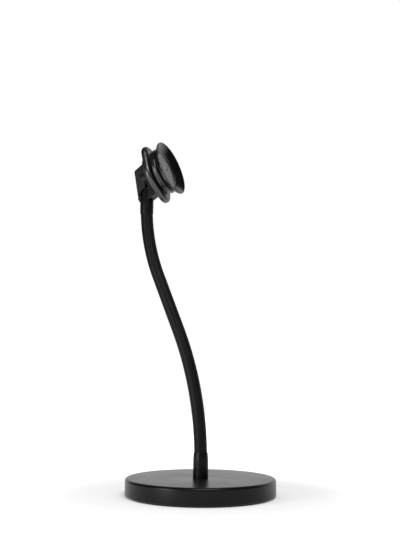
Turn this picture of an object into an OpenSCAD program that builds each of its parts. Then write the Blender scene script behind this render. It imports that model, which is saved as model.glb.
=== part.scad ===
// Suction phone desk stand: a heavy round foot, a flexible neck in a smooth rubber
// sleeve, and a vacuum cup that a twist of its grip locks to the back of a phone.
// The origin is the centre of the underside. The cup faces -Y and the neck leans to +Y.

/* [Base] */
// Diameter of the round base
base_d = 150; // [120:1:200]
// Height of the base from the table to its top, pad included
base_h = 17.8; // [16:0.2:26]
// Rounding of the top edge of the base
base_round = 2.6; // [1:0.1:4]
// Bevel of the bottom edge of the base
base_bevel = 1; // [0.5:0.1:2]
// How far the rubber pad stands out below the weight
pad_show = 1.2; // [0.8:0.1:2]
// Depth of the recess that the pad is glued into
pad_recess = 1; // [0.6:0.1:1.4]
// Width of the metal rim round the pad
pad_inset = 3; // [2:0.5:8]

/* [Base bolt] */
// Diameter of the bolt that holds the neck
bolt_d = 8; // [6:1:8]
// Diameter of the bolt's head
bolt_head_d = 13; // [12:0.5:15]
// Height of the bolt's head
bolt_head_h = 5; // [4:0.5:6]
// Hexagon key size of the bolt
bolt_key = 5; // [4:1:6]
// How far the bolt reaches into the ferrule
bolt_grip = 11; // [8:0.5:12]
// Outer diameter of the bolt's washer
bolt_washer_d = 17; // [16:0.5:20]
// Thickness of the bolt's washer
bolt_washer_h = 1.6; // [1:0.1:2]
// Thickness of the base between the washer and its top
bolt_web = 7; // [5:0.5:8]

/* [Neck] */
// Outer diameter of the rubber sleeve
sleeve_d = 13; // [12.6:0.1:14]
// Diameter of the flexible metal core
core_d = 8.6; // [7:0.1:9]
// Radius of the lower bend, at the centre line
low_bend_r = 340; // [250:5:450]
// Radius of the upper bend, at the centre line
high_bend_r = 196; // [150:2:260]
// Greatest lean of the neck from upright
neck_lean = 22.5; // [10:0.5:30]
// Length of the straight stretch between the bends
neck_straight = 62; // [30:1:100]
// Outer diameter of the collars at both ends
collar_d = 15; // [14.6:0.1:18]
// Length of the lower collar
low_collar_h = 24.6; // [23.5:0.2:28]
// Length of the upper collar
high_collar_h = 15.4; // [14:0.2:18]
// Length of the taper at a collar's mouth
collar_taper = 7; // [4:0.5:9]
// Wall left at a collar's mouth
collar_lip = 0.35; // [0.25:0.05:0.8]
// Outer diameter of the ferrules
ferrule_d = 11.8; // [11:0.1:12]
// Length of the ferrules
ferrule_h = 22; // [20:0.5:24]
// Depth of a ferrule's socket for the core
ferrule_socket = 9; // [6:0.5:9.5]
// Depth of a ferrule's tapped hole
ferrule_tap = 12; // [11:0.5:12.5]

/* [Elbow block] */
// Width of the block
block_w = 20.4; // [20:0.2:26]
// Distance from the neck's axis to the block's rear face
block_back = 10.2; // [9.8:0.2:14]
// Height of the block's sloping top above its underside, at the rear
block_rear_h = 30; // [26:0.5:36]
// Height of the cup's axis above the block's underside, at the neck
axis_rise = 23; // [22.5:0.5:30]
// Rounding of the rear upright edges
block_round = 3.2; // [1:0.2:5]
// Slope of the block's top, from level
block_top_slope = 42; // [30:1:50]
// Slope of the bevel under the block's front, from level
block_chin_slope = 38; // [25:1:60]
// Lean of the block's rear face from upright
block_rear_lean = 5; // [0:0.5:6]
// Lean of the block's sides from upright
block_side_lean = 2.5; // [0:0.5:4]
// Diameter of the boss that carries the spindle
boss_d = 29; // [26:0.5:34]
// Diameter of the round flange behind the twist grip
flange_d = 45; // [42:0.5:50]
// Thickness of that flange
flange_h = 2.2; // [1.8:0.1:3]

/* [Cup head] */
// Tilt of the cup's axis above level
cup_tilt = 18; // [0:1:25]
// Distance from the neck's axis to the cup's rim, along the cup's axis
cup_reach = 30; // [29:0.5:40]
// Diameter of the cup's rim
cup_d = 59; // [56:0.5:70]
// Diameter of the flat pad in the cup
cup_pad_d = 39; // [37:0.5:42]
// Depth of the pad below the rim
cup_depth = 5.5; // [5:0.1:7]
// Thickness of the cup's centre
cup_skin = 1.6; // [1.2:0.1:2]
// Thickness of the cup's lip
cup_lip = 1.3; // [1:0.1:2]
// Diameter of the cup's foot on the carrier
cup_foot_d = 43; // [42:0.5:46]
// Diameter of the carrier disc
carrier_d = 49.6; // [48:0.2:54]
// Thickness of the carrier disc
carrier_h = 6; // [5.6:0.1:8]
// Height of the boss behind the carrier disc
carrier_boss_h = 1.3; // [0.8:0.1:2]
// Edge rounding of the carrier disc
carrier_round = 2; // [1:0.1:2.6]
// Length of the oval twist grip
grip_l = 64; // [56:0.5:72]
// Width of the twist grip
grip_w = 43; // [40:0.5:48]
// Radius of the twist grip's ends
grip_end_r = 11.5; // [9:0.5:16]
// Thickness of the twist grip
grip_h = 7.6; // [7.4:0.1:8]
// Turn of the grip's long way from upright when it is free
grip_rest_turn = 9; // [0:1:15]
// Rounding of the twist grip's rim
grip_round = 3.3; // [2:0.1:3.5]

/* [Vacuum lock] */
// Stroke of the plunger
stroke = 2.4; // [1.5:0.1:2.6]
// Turn of the grip from free to locked
lock_turn = 75; // [60:1:80]
// Diameter of the carrier's spindle
spindle_d = 18; // [17:0.5:19]
// How far the spindle reaches behind the neck's axis
spindle_back = 6; // [5.5:0.1:6.4]
// Diameter of the plunger's head
plunger_head_d = 35; // [30:0.5:36]
// Thickness of the plunger's head
plunger_head_h = 1.6; // [1.2:0.1:1.8]
// Diameter of the plunger's stem
stem_d = 6; // [5.5:0.1:6.4]
// Diameter of the cross pin
cross_pin_d = 3; // [2.5:0.1:3]
// Length of the cross pin
cross_pin_l = 28; // [27:0.5:28.4]
// Inner radius of the cam ramps
ramp_in = 10.5; // [10.2:0.1:11]
// Outer radius of the cam ramps
ramp_out = 13.5; // [13:0.1:14]
// Outer radius of the pockets that the cross pin turns in
pocket_r = 15; // [14.8:0.1:16]
// Outer diameter of the spring
spring_d = 6.4; // [6:0.1:6.8]
// Wire diameter of the spring
spring_wire = 0.9; // [0.6:0.1:1]
// Turns of the spring
spring_turns = 4; // [3:1:5]
// Outer diameter of the slip washer
slip_d = 43; // [40:0.5:44]
// Inner diameter of the slip washer
slip_hole_d = 33; // [32:0.5:36]
// Thickness of the slip washer
slip_h = 0.5; // [0.3:0.1:1]

/* [Small screws] */
// Diameter of the screw that holds the spindle
spindle_screw_d = 5; // [4:0.5:5]
// Head diameter of the spindle screw
spindle_head_d = 9.5; // [8:0.5:10]
// Head height of the spindle screw
spindle_head_h = 1.8; // [1.4:0.1:2]
// How far the spindle screw reaches into the spindle
spindle_grip = 5; // [4:0.5:5.5]
// Diameter of the set screw behind the neck
set_screw_d = 4; // [3:0.5:5]
// Height of the set screw above the block's underside
set_screw_z = 6; // [4.5:0.5:8]

/* [Clearances] */
// Gap of parts that are screwed or pushed together
fit = 0.05; // [0.03:0.01:0.1]
// Radial gap of parts that turn or slide in each other
run = 0.06; // [0.03:0.01:0.09]
// Gap of parts that pass each other
free = 0.3; // [0.3:0.05:0.4]

/* [Hidden] */
$fn = 96;
// Small overshoot that lets a cut pass through a face
eps = 0.01;
// Size of the blocks that trim the elbow block
cut = 80;
// Radial gap of a screw in a plain hole
hole_gap = 0.25;
// Gap behind the end of a part in its socket
end_gap = 0.1;

// Base
pad_r = base_d / 2 - pad_inset;
pad_edge = 0.4;
washer_top = base_h - bolt_web;
head_top = washer_top - bolt_washer_h;
bore_r = bolt_washer_d / 2 + free;
key_depth = 3;

// Neck: the bends start a little inside the ferrules' sockets
bend_steps = 9;
low_bend_in = 5;
high_bend_in = 4.4;
core_gap = 0.1;
sleeve_gap = 0.2;
mouth_gap = 0.15;
// How far the sleeve reaches into the upper collar
sleeve_lap = 3;
neck_low_z = base_h + ferrule_h - low_bend_in;
neck_rise = (low_bend_r + high_bend_r) * sin(neck_lean) + neck_straight * cos(neck_lean);
neck_y = (low_bend_r + high_bend_r) * (1 - cos(neck_lean)) + neck_straight * sin(neck_lean);
neck_high_z = neck_low_z + neck_rise;
ferrule_show = high_collar_h - sleeve_lap;
ferrule_mouth_z = neck_high_z - high_bend_in;
block_z = ferrule_mouth_z + ferrule_show;

// Elbow block
flange_edge = 0.6;
relief_h = 1;
// Step of the block's bevel from the collar's edge
chin_step = 1;
rear_top_z = block_z + block_rear_h;

// Stations along the cup's axis, counted forward from the neck's axis
cup_seat = 0.5;
rim_z = cup_reach;
pad_z = rim_z - cup_depth;
skin_z = pad_z - cup_skin;
carrier_front = skin_z + cup_seat;
carrier_back = carrier_front - carrier_h;
grip_front = carrier_back - carrier_boss_h - free;
grip_back = grip_front - grip_h;
slip_front = grip_back - free;
block_front = slip_front - slip_h;

// Cup: its bead, the groove round its pad, the mark at its centre and its lip
bead_in = 20;
bead_out = 21;
bead_h = 1.4;
pad_groove_w = 1.1;
pad_groove_h = 0.6;
mark_r = 1.2;
mark_h = 0.5;
mark_slope = 0.3;
lip_in = 0.7;
lip_out = 0.5;
lip_edge = 0.4;
cup_steps = 8;

// Vacuum lock, on the same stations
head_back = skin_z - plunger_head_h;
head_pocket = head_back - stroke - free;
ramp_r = (ramp_in + ramp_out) / 2;
ramp_slope = stroke / 2 / (ramp_r * sin(lock_turn / 2));
// Depth of the middle of the ramps below the grip's front
ramp_depth = 3.9;
ramp_mid = grip_front - ramp_depth;
pin_z = ramp_mid + stroke / 2 * ramp_in / ramp_r - free - cross_pin_d / 2;
pin_fit = 0.02;
pocket_floor = ramp_mid + stroke / 2 * ramp_out / ramp_r + free;
// Dish in the carrier that the cup's middle is drawn into
dish_r = 19.6;
dish_h = stroke + 2 * free;
// Angle left free at both ends of a pocket
pocket_spare = 12;
// Length of the stem behind the middle of the cross pin
stem_tail = 3.2;
stem_end = pin_z - stem_tail;
spring_seat = 1;
spring_gap = 0.15;
spring_bore_r = spring_d / 2 + spring_gap;
spring_lap = 0.5;
spindle_end = -spindle_back;
// Wall of the block between the spindle's end and the screw's head
seat_web = 2.8;
head_seat = spindle_end - seat_web;
tap_spare = 0.5;

// Hexagon sockets of the two small screws
set_key_r = set_screw_d / 4;
set_key_depth = 1.1;
spindle_key_r = 1.7;
spindle_key_depth = 1.4;

// A disc with a rounded upper edge, standing on z = 0
module rounded_disc(r, h, edge) {
    rotate_extrude() {
        square([r - edge, h]);
        square([r, h - edge]);
        translate([r - edge, h - edge]) intersection() {
            circle(edge);
            square(edge);
        }
    }
}

// A disc with both edges rounded
module pill_disc(r, h, edge, sides = 96) {
    rotate_extrude($fn = sides) {
        square([r - edge, h]);
        translate([0, edge]) square([r, h - 2 * edge]);
        for (z = [edge, h - edge]) translate([r - edge, z]) circle(edge, $fn = sides / 2);
    }
}

// A ring between two radii
module tube(r_in, r_out, h) {
    rotate_extrude() translate([r_in, 0]) square([r_out - r_in, h]);
}

// Moves what follows to the cup's axis: +Z points out of the cup, +Y up its face
module on_cup_axis() {
    translate([0, neck_y, block_z + axis_rise]) rotate([90 - cup_tilt, 0, 0]) children();
}

// Centre line of the neck as [y, z, lean]: straight, bend, straight, bend, straight
function neck_line(z_from, z_to) = concat(
    [[0, z_from, 0]],
    [for (i = [0:bend_steps]) let (a = neck_lean * i / bend_steps)
        [low_bend_r * (1 - cos(a)), neck_low_z + low_bend_r * sin(a), a]],
    [for (i = [bend_steps:-1:0]) let (a = neck_lean * i / bend_steps)
        [neck_y - high_bend_r * (1 - cos(a)), neck_high_z - high_bend_r * sin(a), a]],
    [[neck_y, z_to, 0]]);

// One ring of points for each stop of a line
function rings(line, r, sides) = [for (stop = line, k = [0:sides - 1]) let (turn = 360 * k / sides)
    [r * cos(turn), stop[0] + r * sin(turn) * cos(stop[2]), stop[1] - r * sin(turn) * sin(stop[2])]];

// The four-cornered faces between the rings that start at one point number
function skin(stops, sides, first) = [for (i = [0:stops - 2], k = [0:sides - 1])
    [first + i * sides + k, first + (i + 1) * sides + k,
        first + (i + 1) * sides + (k + 1) % sides, first + i * sides + (k + 1) % sides]];

function flipped(face) = [for (i = [len(face) - 1:-1:0]) face[i]];

// A round rod along the neck
module neck_rod(r, z_from, z_to, sides) {
    line = neck_line(z_from, z_to);
    stops = len(line);
    polyhedron(rings(line, r, sides), concat(skin(stops, sides, 0),
        [[for (k = [0:sides - 1]) k]],
        [[for (k = [sides - 1:-1:0]) (stops - 1) * sides + k]]));
}

// A tube along the neck
module neck_tube(r_out, r_in, z_from, z_to, sides) {
    line = neck_line(z_from, z_to);
    stops = len(line);
    inner = stops * sides;
    last = (stops - 1) * sides;
    ends = [for (k = [0:sides - 1]) let (n = (k + 1) % sides) each [
        [k, n, inner + n, inner + k],
        [last + n, last + k, inner + last + k, inner + last + n]]];
    polyhedron(concat(rings(line, r_out, sides), rings(line, r_in, sides)),
        concat(skin(stops, sides, 0), [for (face = skin(stops, sides, inner)) flipped(face)], ends));
}

// The turned end fitting of the neck: a tapped hole below and the core's socket above
module ferrule() {
    difference() {
        cylinder(d = ferrule_d, h = ferrule_h);
        translate([0, 0, -eps]) cylinder(d = bolt_d + 2 * fit, h = ferrule_tap);
        translate([0, 0, ferrule_h - ferrule_socket])
            cylinder(r = core_d / 2 + core_gap, h = ferrule_socket + eps);
    }
}

// A collar with a tapered mouth: it covers the ferrule and the end of the sleeve
module collar(h, ferrule_top) {
    mouth_r = sleeve_d / 2 + mouth_gap;
    difference() {
        rotate_extrude() polygon([[0, 0], [collar_d / 2, 0], [collar_d / 2, h - collar_taper],
            [mouth_r + collar_lip, h], [0, h]]);
        translate([0, 0, -eps]) cylinder(d = ferrule_d + 2 * fit, h = ferrule_top + 2 * eps);
        translate([0, 0, ferrule_top]) cylinder(r = mouth_r, h = h - ferrule_top + eps);
    }
}

module base_weight() {
    color("dimgray") difference() {
        translate([0, 0, pad_show]) union() {
            translate([0, 0, base_bevel])
                rounded_disc(base_d / 2, base_h - pad_show - base_bevel, base_round);
            cylinder(r1 = base_d / 2 - base_bevel, r2 = base_d / 2, h = base_bevel);
        }
        translate([0, 0, pad_show - eps]) cylinder(r = pad_r + fit, h = pad_recess + eps);
        translate([0, 0, pad_show]) cylinder(r = bore_r, h = washer_top - pad_show);
        cylinder(r = bolt_d / 2 + hole_gap, h = base_h + eps);
    }
}

module foot_pad() {
    color("black") pill_disc(pad_r, pad_show + pad_recess, pad_edge);
}

module base_bolt() {
    color("silver") difference() {
        union() {
            translate([0, 0, head_top - bolt_head_h]) cylinder(d = bolt_head_d, h = bolt_head_h);
            translate([0, 0, head_top - eps]) cylinder(d = bolt_d, h = base_h + bolt_grip - head_top);
        }
        translate([0, 0, head_top - bolt_head_h - eps])
            cylinder(r = bolt_key / sqrt(3), h = key_depth, $fn = 6);
    }
}

module base_washer() {
    color("silver") translate([0, 0, head_top])
        tube(bolt_d / 2 + hole_gap, bolt_washer_d / 2, bolt_washer_h);
}

module lower_ferrule() {
    color("darkgray") translate([0, 0, base_h]) ferrule();
}

module lower_collar() {
    color("black") translate([0, 0, base_h]) collar(low_collar_h, ferrule_h + end_gap);
}

module neck_core() {
    color("gray") neck_rod(core_d / 2, base_h + ferrule_h - ferrule_socket + end_gap,
        ferrule_mouth_z + ferrule_socket - end_gap, 20);
}

module neck_sleeve() {
    color("black") neck_tube(sleeve_d / 2, core_d / 2 + sleeve_gap,
        base_h + ferrule_h + sleeve_gap, ferrule_mouth_z - sleeve_gap, 32);
}

module upper_ferrule() {
    color("darkgray") translate([0, neck_y, ferrule_mouth_z + ferrule_h])
        mirror([0, 0, 1]) ferrule();
}

module upper_collar() {
    color("black") translate([0, neck_y, block_z]) mirror([0, 0, 1])
        collar(high_collar_h, ferrule_show + end_gap);
}

// The block seen from above, with the neck's axis at the middle: round in front, square behind
module block_plan() {
    half = block_w / 2;
    circle(half);
    translate([-half, 0]) square([block_w, block_back - block_round]);
    translate([-half + block_round, 0]) square([block_w - 2 * block_round, block_back]);
    for (side = [-1, 1])
        translate([side * (half - block_round), block_back - block_round]) circle(block_round);
}

module neck_block() {
    color("dimgray") difference() {
        union() {
            translate([0, neck_y, block_z]) linear_extrude(block_rear_h + block_w) block_plan();
            on_cup_axis() intersection() {
                cylinder(d = boss_d, h = block_front);
                translate([-block_w / 2, -boss_d, -1]) cube([block_w, 2 * boss_d, block_front + 2]);
            }
            on_cup_axis() translate([0, 0, block_front - flange_h])
                rounded_disc(flange_d / 2, flange_h, flange_edge);
        }
        // Plane that the grip's washer lies on
        on_cup_axis() translate([-cut / 2, -cut / 2, block_front]) cube(cut);
        translate([-cut / 2, neck_y + block_back, rear_top_z]) {
            // Sloping top
            rotate([-block_top_slope, 0, 0]) translate([0, -cut / 2, 0]) cube(cut);
            // Lean of the rear face
            rotate([-block_rear_lean, 0, 0]) translate([0, 0, -cut + block_w]) cube(cut);
        }
        // Lean of the sides
        for (side = [0, 1]) mirror([side, 0, 0]) translate([block_w / 2, neck_y - block_w / 4, rear_top_z])
            rotate([0, block_side_lean, 0]) translate([0, 0, -cut + block_w]) cube(cut);
        // Bevel under the front
        translate([-cut / 2, neck_y - collar_d / 2 + chin_step, block_z]) rotate([-block_chin_slope, 0, 0])
            translate([0, -cut, -cut]) cube(cut);
        // Socket of the neck's ferrule
        translate([0, neck_y, block_z - eps])
            cylinder(d = ferrule_d + 2 * fit, h = ferrule_h - ferrule_show + 2 * end_gap);
        // Bore of the spindle, with a shallow relief for the cross pin
        on_cup_axis() {
            translate([0, 0, spindle_end - end_gap]) cylinder(d = spindle_d + 2 * fit, h = cut);
            translate([0, 0, block_front - relief_h]) cylinder(r = pocket_r, h = cut);
            // Holes of the spindle screw
            translate([0, 0, head_seat - cut / 2]) cylinder(r = spindle_screw_d / 2 + hole_gap, h = cut);
            translate([0, 0, head_seat - cut]) cylinder(r = spindle_head_d / 2 + hole_gap, h = cut);
        }
        // Hole of the set screw
        translate([0, neck_y, block_z + set_screw_z]) rotate([-90, 0, 0])
            cylinder(d = set_screw_d + 2 * fit, h = cut);
    }
}

module neck_set_screw() {
    screw_l = block_back - ferrule_d / 2 - free - (block_rear_h - set_screw_z) * tan(block_rear_lean);
    color("black") translate([0, neck_y + ferrule_d / 2 + fit, block_z + set_screw_z])
        rotate([-90, 0, 0]) difference() {
            cylinder(d = set_screw_d, h = screw_l);
            translate([0, 0, screw_l - set_key_depth]) cylinder(r = set_key_r, h = cut, $fn = 6);
        }
}

module spindle_screw() {
    color("silver") on_cup_axis() difference() {
        union() {
            translate([0, 0, head_seat - spindle_head_h])
                cylinder(d1 = spindle_head_d - 1, d2 = spindle_head_d, h = spindle_head_h);
            translate([0, 0, head_seat - eps])
                cylinder(d = spindle_screw_d, h = spindle_end - head_seat + spindle_grip);
        }
        translate([0, 0, head_seat - spindle_head_h - eps])
            cylinder(r = spindle_key_r, h = spindle_key_depth, $fn = 6);
    }
}

module slip_washer() {
    color("whitesmoke") on_cup_axis() translate([0, 0, block_front])
        tube(slip_hole_d / 2, slip_d / 2, slip_h);
}

module twist_grip() {
    color("dimgray") on_cup_axis() difference() {
        translate([0, 0, grip_back]) grip_shell();
        translate([0, 0, grip_back - eps]) cylinder(r = spindle_d / 2 + run, h = grip_h + 2 * eps);
        for (turn = [0, 180]) rotate([0, 0, turn]) ramp_pocket();
    }
}

// The oval body of the grip, rounded all round its rim
module grip_shell() {
    rotate([0, 0, grip_rest_turn]) hull() {
        pill_disc(grip_w / 2, grip_h, grip_round, 40);
        for (side = [-1, 1]) translate([0, side * (grip_l / 2 - grip_end_r), 0])
            pill_disc(grip_end_r, grip_h, grip_round, 32);
    }
}

// A part of a ring, square in section, that ends at angle zero plus a spare angle
module arc_tube(r_in, r_out, h, spare) {
    rotate([0, 0, -lock_turn - spare]) rotate_extrude(angle = lock_turn + 2 * spare)
        translate([r_in, 0]) square([r_out - r_in, h]);
}

// One curved pocket for an end of the cross pin, with the ramp left standing on its floor
module ramp_pocket() {
    difference() {
        translate([0, 0, grip_back - 1])
            arc_tube(spindle_d / 2 - 1, pocket_r, pocket_floor - grip_back + 1, pocket_spare);
        intersection() {
            translate([0, 0, grip_back]) arc_tube(ramp_in, ramp_out, grip_h, pocket_spare + 1);
            rotate([0, 0, -lock_turn / 2]) translate([0, 0, ramp_mid]) rotate([atan(ramp_slope), 0, 0])
                translate([0, -pocket_r, 0]) cube([pocket_r, 2 * pocket_r, pocket_r]);
        }
    }
}

module cup_carrier() {
    color("dimgray") on_cup_axis() difference() {
        union() {
            translate([0, 0, carrier_back]) pill_disc(carrier_d / 2, carrier_h, carrier_round);
            translate([0, 0, carrier_back - carrier_boss_h])
                cylinder(d = slip_hole_d + 4, h = carrier_boss_h + eps);
            translate([0, 0, spindle_end]) cylinder(d = spindle_d, h = carrier_back - spindle_end + eps);
        }
        translate([0, 0, head_pocket]) cylinder(r = plunger_head_d / 2 + free, h = carrier_h);
        translate([0, 0, carrier_front - dish_h])
            cylinder(r1 = plunger_head_d / 2 + free, r2 = dish_r, h = dish_h + eps);
        translate([0, 0, stem_end - stroke - free]) cylinder(r = stem_d / 2 + run, h = carrier_front);
        translate([0, 0, spring_seat]) cylinder(r = spring_bore_r, h = stem_end - spring_seat + spring_lap);
        // Slot that the cross pin slides in
        translate([-spindle_d, -cross_pin_d / 2 - run, pin_z - stroke - cross_pin_d / 2 - free])
            cube([2 * spindle_d, cross_pin_d + 2 * run, stroke + cross_pin_d + 2 * free]);
        // Groove of the cup's bead
        translate([0, 0, carrier_front - bead_h - end_gap])
            tube(bead_in - end_gap, bead_out + end_gap, carrier_h);
        // Tapped hole of the spindle screw
        translate([0, 0, spindle_end - eps])
            cylinder(d = spindle_screw_d + 2 * fit, h = spindle_grip + tap_spare);
    }
}

module plunger() {
    color("silver") on_cup_axis() difference() {
        union() {
            translate([0, 0, head_back]) cylinder(d = plunger_head_d, h = plunger_head_h);
            translate([0, 0, stem_end]) cylinder(d = stem_d, h = head_back - stem_end + eps);
        }
        translate([-stem_d, 0, pin_z]) rotate([0, 90, 0])
            cylinder(d = cross_pin_d + 2 * pin_fit, h = 2 * stem_d);
    }
}

module cross_pin() {
    color("silver") on_cup_axis() translate([-cross_pin_l / 2, 0, pin_z])
        rotate([0, 90, 0]) cylinder(d = cross_pin_d, h = cross_pin_l);
}

// Closed rings stand in for the turns of the spring, joined by a thin seam
module plunger_spring() {
    pitch = (stem_end - spring_seat - spring_wire - 2 * end_gap) / spring_turns;
    coil_r = (spring_d - spring_wire) / 2;
    color("silver") on_cup_axis() translate([0, 0, spring_seat + end_gap]) {
        for (turn = [0:spring_turns]) translate([0, 0, spring_wire / 2 + turn * pitch])
            rotate_extrude() translate([coil_r, 0]) circle(d = spring_wire);
        translate([coil_r, 0, spring_wire / 2]) cylinder(d = spring_wire * 0.8, h = spring_turns * pitch);
    }
}

// Section of the cup: the outer flare, the lip, the inner wall, the pad and its centre mark
module cup_section() {
    rim_r = cup_d / 2;
    foot_r = cup_foot_d / 2;
    pad_edge_r = cup_pad_d / 2;
    wall_r = pad_edge_r + pad_groove_w;
    recess_r = plunger_head_d / 2 + free;
    back = [[0, skin_z], [recess_r, skin_z], [recess_r, carrier_front], [bead_in, carrier_front],
        [bead_in, carrier_front - bead_h], [bead_out, carrier_front - bead_h], [bead_out, carrier_front]];
    flare = [for (i = [0:cup_steps]) let (t = i / cup_steps)
        [foot_r + (rim_r - lip_out - foot_r) * t,
            carrier_front + (rim_z - cup_lip - carrier_front) * pow(t, 1.5)]];
    lip = [[rim_r, rim_z - cup_lip + lip_out], [rim_r, rim_z - lip_edge]];
    inner = [for (i = [0:cup_steps]) let (t = i / cup_steps)
        [rim_r - lip_in - (rim_r - lip_in - wall_r) * t, rim_z - cup_depth * pow(t, 0.9)]];
    pad = [[wall_r, pad_z - pad_groove_h], [pad_edge_r, pad_z - pad_groove_h], [pad_edge_r, pad_z],
        [mark_r, pad_z], [mark_r - mark_slope, pad_z - mark_h], [0, pad_z - mark_h]];
    polygon(concat(back, flare, lip, inner, pad));
}

module suction_cup() {
    color("black") on_cup_axis() rotate_extrude() cup_section();
}

base_weight();
foot_pad();
base_bolt();
base_washer();
lower_ferrule();
lower_collar();
neck_core();
neck_sleeve();
upper_ferrule();
upper_collar();
neck_block();
neck_set_screw();
spindle_screw();
slip_washer();
twist_grip();
cup_carrier();
plunger();
cross_pin();
plunger_spring();
suction_cup();
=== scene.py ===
# %% [markdown]
# # A suction phone desk stand, dressed in Blender
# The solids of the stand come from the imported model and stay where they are. This lesson
# gives them their finish, and replaces those that need a finer surface: the turned base, the
# collars, the neck, the cast elbow block, the oval twist grip and the rubber cup.
# Sizes are written in millimetres, and MM turns them into Blender's metres. The frame is the
# model's own: the cup faces -Y, and +Z is up.

import math

import bmesh
import bpy
from mathutils import Matrix, Vector


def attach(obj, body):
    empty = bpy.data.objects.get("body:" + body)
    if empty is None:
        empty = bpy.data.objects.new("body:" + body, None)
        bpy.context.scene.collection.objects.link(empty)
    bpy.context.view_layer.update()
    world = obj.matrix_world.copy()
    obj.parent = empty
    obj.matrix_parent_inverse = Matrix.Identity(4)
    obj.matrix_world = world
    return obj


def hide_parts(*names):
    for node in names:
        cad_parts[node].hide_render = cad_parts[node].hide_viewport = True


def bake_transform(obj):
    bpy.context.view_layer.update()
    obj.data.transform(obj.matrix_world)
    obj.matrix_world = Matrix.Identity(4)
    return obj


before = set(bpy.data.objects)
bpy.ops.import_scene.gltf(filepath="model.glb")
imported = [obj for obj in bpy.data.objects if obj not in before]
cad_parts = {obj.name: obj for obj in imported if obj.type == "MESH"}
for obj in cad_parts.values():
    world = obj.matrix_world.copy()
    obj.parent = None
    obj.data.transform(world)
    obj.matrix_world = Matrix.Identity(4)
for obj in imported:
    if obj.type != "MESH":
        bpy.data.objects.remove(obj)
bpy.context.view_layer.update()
MM = 0.001

# %% [markdown]
# ## The sizes that the pieces share
# The neck rises straight, bends back, runs straight and bends upright again. Each bend starts a
# little inside its ferrule. The cup's axis crosses the neck's axis inside the elbow block and
# points 18 degrees up. All head pieces are drawn along that axis and then turned into place, as
# they would be on a lathe.

# %% Sizes in millimetres
BASE_R, BASE_H, PAD_SHOW = 75.0, 17.8, 1.2
FERRULE_H, COLLAR_LOW_H, COLLAR_HIGH_H, COLLAR_SINK = 22.0, 24.6, 25.0, 9.6
LOW_BEND, HIGH_BEND, STRAIGHT = 340.0, 196.0, 62.0
LOW_BEND_IN, HIGH_BEND_IN, END_GAP = 5.0, 4.4, 0.1
LEAN = math.radians(22.5)
LOW_Z = BASE_H + FERRULE_H - LOW_BEND_IN
NECK_Y = (LOW_BEND + HIGH_BEND) * (1 - math.cos(LEAN)) + STRAIGHT * math.sin(LEAN)
HIGH_Z = LOW_Z + (LOW_BEND + HIGH_BEND) * math.sin(LEAN) + STRAIGHT * math.cos(LEAN)
MOUTH_Z = HIGH_Z - HIGH_BEND_IN
BLOCK_Z = MOUTH_Z + FERRULE_H - COLLAR_SINK
AXIS_RISE = 23.0
TILT = math.radians(18)
ON_CUP_AXIS = (Matrix.Translation((0, NECK_Y * MM, (BLOCK_Z + AXIS_RISE) * MM))
               @ Matrix.Rotation(math.radians(90) - TILT, 4, "X"))
print("block's datum at", round(BLOCK_Z, 2),
      "and the cup's axis at", [round(v / MM, 2) for v in ON_CUP_AXIS.translation])

# %% [markdown]
# ## From rings of points to pieces
# Every mesh here is built from rings of points that are joined by bands of faces. A turned
# piece is its section spun round an axis. Blender's Screw modifier could do it, but building the
# rings in code keeps the centre point single and lets every corner of the section have a small
# rounding first. Real edges are never sharp, and the rounding is what catches light.

# %% From a shell to a piece
UPRIGHT = Matrix.Identity(4)


def piece_of(name, shell, place=UPRIGHT):
    """The shell as a named piece of the scene, moved to its place."""
    shell.transform(place)
    mesh = bpy.data.meshes.new(name)
    shell.to_mesh(mesh)
    shell.free()
    piece = bpy.data.objects.new(name, mesh)
    bpy.context.scene.collection.objects.link(piece)
    return piece


def smooth(piece, angle=32):
    """Smooth shading that keeps edges sharper than the angle crisp."""
    for face in piece.data.polygons:
        face.use_smooth = True
    piece.data.set_sharp_from_angle(angle=math.radians(angle))


# %% Round the corners of a section
TINY, EDGE_SHARE = 1e-6, 0.49


def eased(section, radii, steps=5):
    """The closed section with each corner rounded by its own radius, in mm.

    No rounding takes more than EDGE_SHARE of an edge."""
    points, count = [], len(section)
    for i, (corner, radius) in enumerate(zip(section, radii)):
        here = Vector(corner)
        back = Vector(section[i - 1]) - here
        ahead = Vector(section[(i + 1) % count]) - here
        if radius <= 0 or back.length < TINY or ahead.length < TINY:
            points.append(tuple(here))
            continue
        half = back.angle(ahead) / 2
        reach = min(radius / math.tan(half), EDGE_SHARE * back.length, EDGE_SHARE * ahead.length)
        radius = reach * math.tan(half)
        inward = (back.normalized() + ahead.normalized()).normalized()
        centre = here + inward * (radius / math.sin(half))
        start = here + back.normalized() * reach - centre
        end = here + ahead.normalized() * reach - centre
        turn = start.angle_signed(end)
        for k in range(steps + 1):
            spun = start.copy()
            spun.rotate(Matrix.Rotation(-turn * k / steps, 2))
            points.append(tuple(centre + spun))
    return points


print("a rounded square:", len(eased([(0, 0), (9, 0), (9, 9), (0, 9)], [1] * 4)), "points")


# %% Spin a section into a mesh
ON_AXIS = 1e-4


def turned(name, section, turns=192, place=UPRIGHT):
    """A closed solid of revolution. The section is a closed list of (radius, height) in mm."""
    shell = bmesh.new()
    rings = []
    for radius, height in section:
        if radius < ON_AXIS:
            rings.append([shell.verts.new((0, 0, height * MM))] * turns)
        else:
            rings.append([shell.verts.new((radius * MM * math.cos(2 * math.pi * k / turns),
                                           radius * MM * math.sin(2 * math.pi * k / turns),
                                           height * MM)) for k in range(turns)])
    for ring, after in zip(rings, rings[1:] + rings[:1]):
        for k in range(turns):
            n = (k + 1) % turns
            corners = list(dict.fromkeys([ring[k], ring[n], after[n], after[k]]))
            if len(corners) > 2:
                shell.faces.new(corners)
    bmesh.ops.recalc_face_normals(shell, faces=shell.faces)
    piece = piece_of(name, shell, place)
    smooth(piece)
    return piece


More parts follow.
